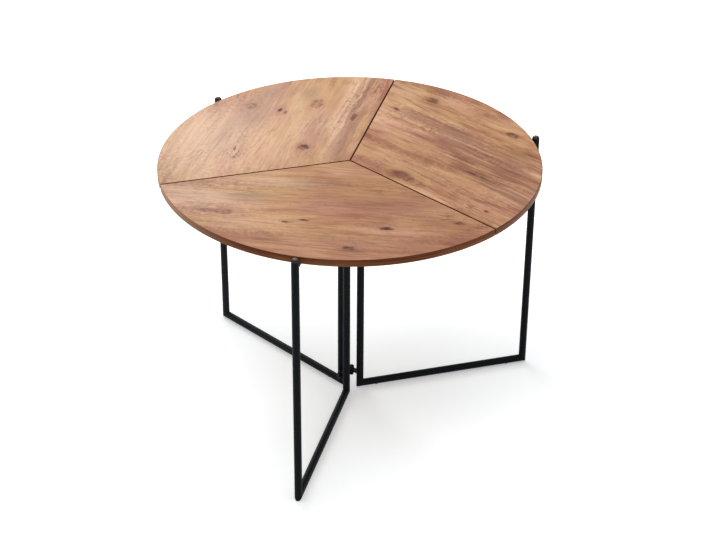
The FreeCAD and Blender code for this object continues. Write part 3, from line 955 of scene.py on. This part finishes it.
def swept_bead(name: str, paths: list[np.ndarray], radius: np.ndarray, closed: bool) -> bpy.types.Object:
    """Round beads along paths with the same number of points, in one object.

    At each point of a path, a circle stands on the two directions across it: the first times the cosine
    plus the second times the sine of the angle, times the radius at that point.

    Args:
        name: name of the new object.
        paths: points of each path, one row each, in metres.
        radius: radius of the bead at each point of a path.
        closed: whether the last point of a path joins the first.

    Returns:
        The new mesh object at the origin.
    """
    angle = np.linspace(0.0, 2 * np.pi, BEAD_SIDES, endpoint=False)[None, :, None]
    points = []
    faces = []
    for path in paths:
        outward, beside = across_path(path, closed)
        ring = np.cos(angle) * outward[:, None, :] + np.sin(angle) * beside[:, None, :]
        first = len(points) * len(path) * BEAD_SIDES
        points.append((path[:, None, :] + radius[:, None, None] * ring).reshape(-1, 3))
        faces += bead_faces(first, len(path), closed)
    mesh = bpy.data.meshes.new(name)
    mesh.from_pydata(np.vstack(points).tolist(), [], faces)
    mesh.validate()
    mesh.polygons.foreach_set("use_smooth", np.ones(len(mesh.polygons), dtype=bool))
    made = bpy.data.objects.new(name, mesh)
    bpy.context.scene.collection.objects.link(made)
    return made


@dataclass
class TopLeaf:
    """One leaf of the top with its band, straps, liners, seam strip, screws and clamp."""

    side: Side
    finishes: Finishes
    decor: PineDecor

    def dress(self) -> None:
        """Dress the leaf's CAD nodes."""
        board = self.side.node("leaf_board")
        paint(frame["nodes"][board], self.decor.material())
        LOG.info("%s wears its own %s", board, Slot.PINE.value)
        for piece, slot in (
            ("leaf_edge_band", Slot.BAND),
            ("leaf_straps", Slot.STRAP),
            ("leaf_liners", Slot.NYLON),
            ("leaf_seam_strip", Slot.STRAP),
            ("leaf_screws", Slot.ZINC),
            ("clamp_nut", Slot.ZINC),
            ("clamp_knob", Slot.PLASTIC),
            ("clamp_screw", Slot.ZINC),
        ):
            self.finishes.dress(self.side.node(piece), slot)


@dataclass
class TubeFrame:
    """One tube frame with its axle bar, cap, glides, stop peg and the weld at the axle's outer end."""

    side: Side
    finishes: Finishes
    bead: float = 1.1 * MM
    ripples: int = 18
    ripple_share: float = 0.12
    steps: int = 90

    def build(self) -> None:
        """Add the weld bead where the axle bar meets the outer leg.

        The bead follows the curve in which the bar enters the leg: at each angle round the bar, its
        distance from the leg's axis is the root of the leg radius squared less the sideways distance
        squared. The bead's radius ripples.
        """
        low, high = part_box(self.side.node("outer_leg"))
        bar_low, bar_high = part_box(self.side.node("axle_bar"))
        leg_radius = (high.x - low.x) / 2
        bar_radius = (bar_high.z - bar_low.z) / 2
        angle = np.linspace(0.0, 2 * np.pi, self.steps, endpoint=False)
        across = bar_radius * np.cos(angle)
        outward = self.side.leg().xy.length - np.sqrt(leg_radius**2 - across**2)
        height = (bar_low.z + bar_high.z) / 2 + bar_radius * np.sin(angle)
        turn = np.array(Matrix.Rotation(self.side.azimuth(), 3, "Z"))
        path = np.stack([outward, across, height], axis=1) @ turn.T
        radius = self.bead * (1.0 + self.ripple_share * np.sin(self.ripples * angle))
        bead = swept_bead(self.side.node("axle_weld"), [path], radius, True)
        self.finishes.weld(bead, self.side)

    def dress(self) -> None:
        """Dress the frame's CAD nodes."""
        for piece in ("outer_leg", "inner_post", "bottom_rail", "axle_bar", "stop_peg"):
            self.finishes.dress(self.side.node(piece), Slot.COAT)
        self.finishes.dress(self.side.node("leg_cap"), Slot.PLASTIC)
        self.finishes.dress(self.side.node("glides"), Slot.GLIDE)


@dataclass
class FrameHinges:
    """Vertical hinges between the frames, with weld beads where the hinge ears meet the posts."""

    finishes: Finishes
    bead: float = 0.9 * MM
    spread: float = 40.0
    ripples: int = 9
    ripple_share: float = 0.12
    blunt_end: float = 1.04
    steps: int = 36

    def build(self) -> None:
        """Add a bead above and below every hinge ear, on the side of the post that carries it.

        A bead is an arc on the post's surface round the direction of the hinge axis, at the ear's upper or
        lower face. Its radius falls off to both ends as the root of a number just over one less the share
        squared, and ripples in between.
        """
        pins = {joint["name"]: Vector(joint["pos_m"]) for joint in frame["record"]["behaviour"]["joints"]}
        right_pin = pins["right_frame_swing"]
        front_pin = pins["front_frame_swing"]
        share = np.linspace(-1.0, 1.0, self.steps)
        ripple = 1.0 + self.ripple_share * np.sin(self.ripples * np.pi * share)
        radius = self.bead * np.sqrt(self.blunt_end - share**2) * ripple
        for side, ears, places in (
            (Side.BACK, "back_hinge_forks", (right_pin, front_pin)),
            (Side.FRONT, "front_hinge_tongues", (front_pin,)),
            (Side.RIGHT, "right_hinge_tongues", (right_pin,)),
        ):
            low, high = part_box(side.node("inner_post"))
            middle = (low + high) / 2
            post = (high.x - low.x) / 2
            paths = []
            for pin in places:
                angle = math.atan2(pin.y - middle.y, pin.x - middle.x) + math.radians(self.spread) * share
                x = middle.x + post * np.cos(angle)
                y = middle.y + post * np.sin(angle)
                paths += [np.stack([x, y, np.full_like(x, level)], axis=1) for level in flat_levels(ears)]
            bead = swept_bead(side.node("hinge_welds"), paths, radius, False)
            self.finishes.weld(bead, side)

    def dress(self) -> None:
        """Dress the hinge nodes."""
        for node in ("back_hinge_forks", "front_hinge_tongues", "right_hinge_tongues"):
            self.finishes.dress(node, Slot.COAT)
        for node in ("hinge_bolts", "hinge_nuts"):
            self.finishes.dress(node, Slot.STRAP)
        self.finishes.dress("hinge_washers", Slot.PLASTIC)


@dataclass(frozen=True)
class Lamp:
    """Rectangular lamp: its power in watts, width and height, place, and the point that it faces."""

    name: str
    power: float
    size: Span
    place: Point
    target: Point

    def hang(self) -> None:
        """Hang the lamp in the scene."""
        data = bpy.data.lights.new(self.name, "AREA")
        data.shape = "RECTANGLE"
        data.size, data.size_y = self.size
        data.energy = self.power
        made = bpy.data.objects.new(self.name, data)
        bpy.context.scene.collection.objects.link(made)
        made.location = self.place
        facing = Vector(self.target) - Vector(self.place)
        made.rotation_euler = facing.to_track_quat("-Z", "Y").to_euler()


OVERHEAD = Lamp("overhead", 62.0, (4.0, 4.0), (-0.4, 0.4, 4.0), (-0.4, 0.4, 0.0))
SHEEN = Lamp("sheen", 48.0, (2.2, 1.5), (-1.6, 3.4, 2.6), (-0.25, 0.1, 0.72))


@dataclass
class Studio:
    """Pale floor with a painted shadow round the table, soft overhead light, a low back light for the sheen
    of the top, and a plain world.
    """

    floor_reach: float = 14.0
    floor_colour: Colour = (0.785, 0.83, 0.845)
    near_lift: float = 0.343
    far_lift: float = 0.90
    rail_share: float = 0.795
    middle_share: float = 0.259
    shade_middle: Span = (0.279, 0.300)
    sky: Colour = (1.0, 1.0, 1.0)
    low_sky: float = 0.40
    high_sky: float = 0.72
    lamps: tuple[Lamp, ...] = (OVERHEAD, SHEEN)

    def rail_distance(self, shader: Shader) -> Socket:
        """Distance on the floor from the nearest of the three bottom rails.

        Args:
            shader: the floor's material.

        Returns:
            The distance in metres.
        """
        nearest: Number = self.floor_reach
        for side in Side:
            along, across, _ = shader.split(shader.turned(math.degrees(side.azimuth())))
            on_rail = shader.calc("MINIMUM", shader.calc("MAXIMUM", along, 0.0), side.leg().xy.length)
            beyond = shader.calc("SUBTRACT", along, on_rail)
            nearest = shader.calc("MINIMUM", nearest, shader.distance(across, beyond))
        return nearest

    def floor_lift(self, shader: Shader) -> Socket:
        """Own light of the floor, for the lens and reflections: less near the rails and the shade's middle,
        as a painted shadow.

        Args:
            shader: the floor's material.

        Returns:
            The strength of that light.
        """
        x, y, _ = shader.split(shader.place)
        x = shader.calc("SUBTRACT", x, self.shade_middle[0])
        y = shader.calc("SUBTRACT", y, self.shade_middle[1])
        spread = shader.calc("MULTIPLY", self.rail_distance(shader), self.rail_share)
        spread = shader.calc("MULTIPLY_ADD", shader.distance(x, y), self.middle_share, spread)
        # Painted shadow: the floor's own light is dimmed near the rails and under the middle of the table.
        level = shader.smooth(spread, (0.0, 1.0), self.near_lift, self.far_lift)
        return shader.calc("MULTIPLY", shader.seen(0.0), level)

    def floor(self) -> None:
        """Lay the floor: a flat square, matt, with a little light of its own, dimmed into a painted shadow
        round the table.
        """
        reach = self.floor_reach / 2
        corner = np.array([[-1, -1, 0], [1, -1, 0], [1, 1, 0], [-1, 1, 0]], dtype=float) * reach
        mesh = bpy.data.meshes.new("floor")
        mesh.from_pydata(corner.tolist(), [], [(0, 1, 2, 3)])
        made = bpy.data.objects.new("floor", mesh)
        bpy.context.scene.collection.objects.link(made)
        shader = Shader(bpy.data.materials.new("floor"))
        matt = shader.named(shader.node("ShaderNodeBsdfDiffuse"), Color=self.floor_colour)
        glow = shader.named(shader.node("ShaderNodeEmission"), Strength=self.floor_lift(shader))
        both = shader.fill(shader.node("ShaderNodeAddShader"), (matt.outputs[0], glow.outputs[0]))
        paint(made, shader.close(both))

    def world(self) -> None:
        """Set a sky that is white to the lens and in reflections, and lights more from above."""
        shader = Shader(bpy.data.worlds.new("studio"))
        direction = shader.node("ShaderNodeTexCoord").outputs["Generated"]
        limits = (0.0, 1.0, self.low_sky, self.high_sky)
        level = shader.fill(shader.node("ShaderNodeMapRange"), (shader.split(direction)[2], *limits))
        sky = shader.named(shader.node("ShaderNodeBackground"), Color=self.sky, Strength=shader.seen(level))
        bpy.context.scene.world = shader.close(sky.outputs[0], "ShaderNodeOutputWorld")

    def build(self) -> None:
        """Set up the whole studio."""
        self.floor()
        for lamp in self.lamps:
            lamp.hang()
        self.world()
        bpy.context.scene.view_settings.view_transform = "Standard"


@dataclass
class ViewCamera:
    """Camera at the viewing angle of the table, fitted to the rim, the seams and the tubes."""

    place: Point = (-0.0286, -4.1951, 2.9797)
    pitch: float = 31.70
    yaw: float = 0.70
    roll: float = 0.36
    lens: float = 91.9
    sensor: float = 36.0

    def build(self) -> None:
        """Set the camera: turn by yaw about Z, tilt down by pitch, then roll about its own axis."""
        data = bpy.data.cameras.new("view")
        data.lens = self.lens
        data.sensor_width = self.sensor
        data.sensor_fit = "HORIZONTAL"
        made = bpy.data.objects.new("view", data)
        bpy.context.scene.collection.objects.link(made)
        turn = Matrix.Rotation(math.radians(-self.yaw), 4, "Z")
        tilt = Matrix.Rotation(math.radians(90.0 - self.pitch), 4, "X")
        roll = Matrix.Rotation(math.radians(self.roll), 4, "Z")
        made.matrix_world = Matrix.Translation(Vector(self.place)) @ turn @ tilt @ roll
        bpy.context.scene.camera = made


# The three prints: azimuth of the grain, then knots, stains and scuffs with their places on the top.
BACK_DECOR = PineDecor(Side.BACK, 75.0, (
    Knot(-270, 316, 17, 15, 0.65, 0.9),
    Knot(-88, 329, 26, 15, 0.75, 0.8),
    Knot(-122, 74, 16, 15, 1.0, 0.2),
    Knot(11, 249, 26, 9, 0.8, 0.3),
    Knot(-190, 290, 13, 6, 0.85),
    Knot(-175, 275, 10, 4, 0.8),
    Knot(-303, 18, 6, 5, 0.85),
), (
    Stain(40, 390, 210, 25, 0.90, Tint.RED, 0.8),
    Stain(12, 240, 150, 24, 0.80, Tint.RED),
    Stain(8, 385, 220, 32, 0.70, Tint.WASHED_AND_SHEEN, -1.0),
    Stain(-22, 215, 170, 32, 0.60, Tint.WASHED_AND_SHEEN, -1.0),
    Stain(-20, 120, 110, 16, 0.50),
    # Painted sheen: these two wide pale patches, at the left end and over the whole leaf, stand in for
    # light from the back left.
    Stain(-380, 120, 330, 170, 0.70, Tint.WASHED_AND_SHEEN, 0.25),
    Stain(-130, 200, 420, 260, 0.22, Tint.WASHED_AND_SHEEN, 0.2),
    Stain(-215, 400, 75, 42, 0.75, Tint.PLUM, 0.35),
    Stain(-265, 300, 100, 60, 0.55, Tint.PLUM, 0.35),
    Stain(-110, 390, 60, 30, 0.50, Tint.GREY, 0.4),
    Stain(-95, 170, 110, 42, 0.50, Tint.PLUM, 0.5),
    Stain(-45, 40, 90, 26, 0.55, Tint.PLUM, 0.5),
    Stain(-330, 170, 120, 22, 0.40, Tint.PLUM, 0.5),
    Stain(-30, 375, 120, 48, 0.60, Tint.HONEY, 0.2),
    Stain(-25, 360, 110, 36, 0.25, Tint.DUSK, 0.6),
    Stain(-250, 245, 90, 50, 0.35, Tint.PLUM, 0.3),
), (
    Scuff(-304, 51, 40, 42, 0.95),
    Scuff(-60, 190, 90, 60, 0.35),
    Scuff(0, 300, 170, 34, 0.60),
    Scuff(40, 380, 120, 26, 0.60),
    Scuff(75, 420, 60, 30, 0.80),
# Painted sheen: the lift makes the whole back leaf paler, standing in for light from the back left.
), lift=0.020, contrast=0.85, line_depth=0.20)
FRONT_DECOR = PineDecor(Side.FRONT, -8.0, (
    Knot(-317, -266, 26, 14, 0.7, 0.6),
    Knot(-362, -258, 48, 12, 0.32),
    Knot(87, -351, 18, 8, 1.0),
    Knot(-2, -445, 20, 10, 0.9),
    Knot(-115, -309, 14, 5, 0.85),
    Knot(-161, -317, 9, 6, 0.9),
    Knot(265, -326, 12, 7, 0.9),
), (
    # Painted sheen: this wide pale patch at the left end of the leaf stands in for light from the left.
    Stain(-400, -190, 190, 90, 0.60, Tint.WASHED_AND_SHEEN, 0.3),
    Stain(60, -210, 260, 100, 0.40, Tint.DUSK, 0.5),
    Stain(230, -280, 160, 70, 0.40, Tint.DUSK, 0.5),
    Stain(0, -420, 260, 60, 0.30, Tint.PALE, 0.5),
    Stain(0, -60, 120, 50, 0.30, Tint.PALE, 0.4),
    Stain(-260, -189, 95, 34, 0.60, Tint.GREY),
    Stain(-70, -135, 130, 28, 1.00),
    Stain(40, -240, 160, 30, 0.35),
    Stain(171, -296, 60, 26, 0.35, Tint.GREY),
    Stain(-265, -315, 160, 60, 0.75, Tint.PALE, 0.3),
    Stain(-230, -110, 170, 46, 0.40, Tint.WASHED_AND_SHEEN, 0.3),
    Stain(115, -365, 130, 40, 0.45, Tint.PALE, 0.3),
), (
    Scuff(245, -294, 60, 36, 0.85),
    Scuff(304, -343, 40, 26, 0.80),
    Scuff(-330, -262, 60, 22, 0.55),
), lift=-0.016, contrast=0.66)
RIGHT_DECOR = PineDecor(Side.RIGHT, -44.0, (
    Knot(230, 350, 24, 15, 0.90, 0.4),
    Knot(434, 140, 20, 11, 0.95, 0.3),
    Knot(131, -78, 26, 17, 0.85, 0.45),
    Knot(160, -112, 44, 13, 0.65, 0.4),
    Knot(327, -84, 50, 7, 0.75),
    Knot(128, 299, 12, 6, 0.85),
    Knot(337, -268, 9, 7, 0.85),
), (
    Stain(310, 60, 190, 80, 0.90, Tint.RED, 0.9),
    Stain(290, 125, 60, 36, 0.55, Tint.PLUM, 0.4),
    Stain(170, 85, 170, 44, 0.60, Tint.HONEY, 0.2),
    Stain(300, 290, 130, 60, 0.65, Tint.HONEY, 0.2),
    Stain(250, 178, 190, 36, 0.85, Tint.DUSK, 0.35),
    Stain(150, 225, 110, 11, 0.55, Tint.RED, 0.4),
    Stain(185, 250, 110, 32, 0.85, Tint.DUSK, 0.4),
    Stain(290, 160, 100, 34, 0.90, Tint.DUSK, 0.4),
    Stain(415, 10, 110, 40, 0.45, Tint.DUSK, 0.4),
    Stain(150, 415, 80, 50, 0.65, Tint.PALE, 0.2),
    Stain(60, 45, 110, 54, 0.70, Tint.HONEY, 0.2),
    Stain(290, -125, 140, 44, 0.60, Tint.HONEY, 0.3),
    Stain(330, -270, 110, 40, 0.55, Tint.HONEY, 0.3),
    Stain(280, 166, 90, 18, 0.55, Tint.UMBER, 0.8),
    Stain(208, 248, 90, 18, 0.45, Tint.UMBER, 0.8),
    Stain(289, 335, 80, 30, 0.50, Tint.PALE, 0.2),
    Stain(294, 5, 64, 10, 1.00, Tint.UMBER, 0.2),
    Stain(400, -50, 130, 9, 0.95, Tint.UMBER, 0.3),
    Stain(385, 0, 110, 8, 0.85, Tint.UMBER, 0.3),
    Stain(330, 12, 90, 5, 0.75, Tint.PALE, 0.0),
    Stain(190, -60, 150, 40, 0.40, Tint.PALE, -0.6),
    Stain(287, 150, 150, 40, 0.65, Tint.RED),
    Stain(350, -20, 170, 30, 0.75, Tint.RED),
    Stain(430, -50, 90, 30, 0.55),
    Stain(220, 300, 90, 30, 0.30),
    Stain(400, -170, 130, 60, 0.45, Tint.PALE, 0.4),
), (
    Scuff(280, -236, 60, 34, 0.80),
    Scuff(85, 250, 40, 40, 0.50),
), lift=-0.012, contrast=1.05, line_depth=0.47)


def main() -> None:
    """Build and dress the table in order, then the studio and the camera."""
    logging.basicConfig(level=logging.INFO)
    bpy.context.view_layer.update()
    low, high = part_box(Side.RIGHT.node("leaf_edge_band"))
    finishes = Finishes(EdgeBand(high.z, high.z - low.z))
    finishes.build()
    for decor in (BACK_DECOR, FRONT_DECOR, RIGHT_DECOR):
        TopLeaf(decor.side, finishes, decor).dress()
    for side in Side:
        tubes = TubeFrame(side, finishes)
        tubes.build()
        tubes.dress()
    hinges = FrameHinges(finishes)
    hinges.build()
    hinges.dress()
    Studio().build()
    ViewCamera().build()


if __name__ == "__main__":
    main()
